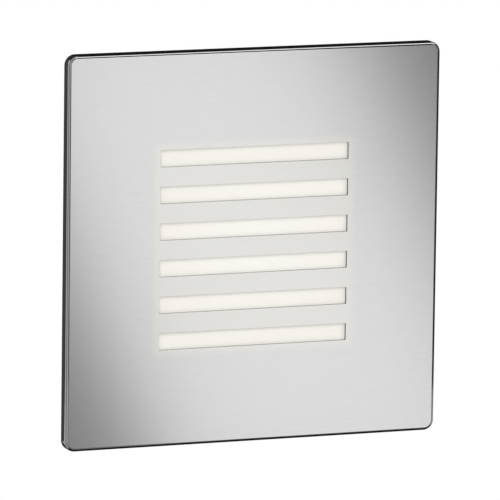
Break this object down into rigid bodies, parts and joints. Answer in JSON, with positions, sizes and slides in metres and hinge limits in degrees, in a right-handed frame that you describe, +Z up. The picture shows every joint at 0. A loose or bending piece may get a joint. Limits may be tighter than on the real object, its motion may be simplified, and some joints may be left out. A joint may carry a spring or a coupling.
{
  "type": "recessed step light",
  "caption": "Square recessed wall or step light: slotted brushed steel plate over a lit opal panel, on a lamp unit held by spring clips in a wall box.",
  "frame": {"origin": "middle of the wall opening, on the wall's surface, which is the plane Y = 0", "axes": "+Y into the wall, the plate faces -Y, +X to the right as seen from the room, +Z up"},
  "size_m": [0.14, 0.0664, 0.14],
  "materials": {
    "brushed_stainless": "fine horizontal brushing, satin",
    "plain_steel": "bright zinc or stainless, as machined",
    "spring_steel": "stainless spring steel, half bright",
    "opal_panel": "opal acrylic, satin, lit warm white",
    "foam_gasket": "closed-cell EPDM foam, matt black",
    "housing_plastic": "glass-filled nylon, fine spark texture",
    "box_plastic": "polypropylene, satin moulded",
    "black_rubber": "EPDM, matt",
    "silicone_seal": "translucent silicone, matt",
    "white_reflector": "white PBT, satin",
    "aluminium_plate": "mill finish",
    "white_board": "white solder mask over aluminium",
    "led_body": "white moulded package",
    "led_phosphor": "yellow phosphor silicone",
    "connector_nylon": "natural nylon",
    "green_board": "green solder mask over glass epoxy",
    "ferrite": "sintered ferrite, matt",
    "winding_tape": "yellow polyester tape",
    "capacitor_sleeve": "shrunk sleeve over an aluminium can",
    "film_case": "moulded case",
    "component_black": "moulded epoxy",
    "varistor_blue": "dipped epoxy",
    "terminal_nylon": "natural polyamide",
    "barrel_brass": "turned, bright",
    "insulation_brown": "silicone insulation",
    "insulation_blue": "silicone insulation",
    "insulation_red": "silicone insulation",
    "insulation_black": "silicone insulation"
  },
  "bodies": {
    "wall_box": {"recess_box": "box_plastic", "cable_grommet": "black_rubber", "blanking_grommet": "black_rubber"},
    "lamp": {"front_plate": "brushed_stainless", "plate_studs": "plain_steel", "stud_washers": "plain_steel", "stud_nuts": "plain_steel", "wall_gasket": "foam_gasket", "inner_housing": "housing_plastic", "diffuser": "opal_panel", "diffuser_seal": "silicone_seal", "reflector": "white_reflector", "heat_spreader": "aluminium_plate", "led_board": "white_board", "led_packages": "led_body", "led_phosphors": "led_phosphor", "board_connector": "connector_nylon", "board_screws": "plain_steel", "driver_board": "green_board", "driver_spacers": "connector_nylon", "driver_screws": "plain_steel", "transformer_core": "ferrite", "transformer_winding": "winding_tape", "smoothing_capacitor": "capacitor_sleeve", "film_capacitor": "film_case", "driver_choke": "ferrite", "varistor": "varistor_blue", "rectifier": "component_black", "rear_seal": "silicone_seal", "rear_cover": "housing_plastic", "rear_cover_screws": "plain_steel", "cable_clamp": "terminal_nylon", "cable_clamp_screws": "plain_steel", "lead_grommet": "black_rubber", "terminal_block": "terminal_nylon", "terminal_barrels": "barrel_brass", "terminal_screws": "plain_steel", "supply_lead_brown": "insulation_brown", "supply_lead_blue": "insulation_blue", "led_lead_red": "insulation_red", "led_lead_black": "insulation_black", "clip_brackets": "spring_steel", "clip_rivets": "plain_steel", "clip_pins": "plain_steel", "clip_spring_right": "spring_steel", "clip_spring_left": "spring_steel"},
    "right_clip": {"clip_right": "spring_steel"},
    "left_clip": {"clip_left": "spring_steel"}
  },
  "joints": [
    {"name": "lamp_pull", "type": "slide", "parent": "wall_box", "child": "lamp", "axis": [0, -1, 0], "range_m": [0, 0.06]},
    {"name": "clip_right_fold", "type": "hinge", "parent": "lamp", "child": "right_clip", "pos_m": [0.046, 0.008, 0], "axis": [0, 0, 1], "range_deg": [0, 12.2], "stiffness_Nm_per_rad": 0.05, "springref_deg": -34.38, "deforming": ["clip_spring_right"]},
    {"name": "clip_left_fold", "type": "hinge", "parent": "lamp", "child": "left_clip", "pos_m": [-0.046, 0.008, 0], "axis": [0, 0, -1], "range_deg": [0, 12.2], "stiffness_Nm_per_rad": 0.05, "springref_deg": -34.38, "deforming": ["clip_spring_left"]}
  ]
}
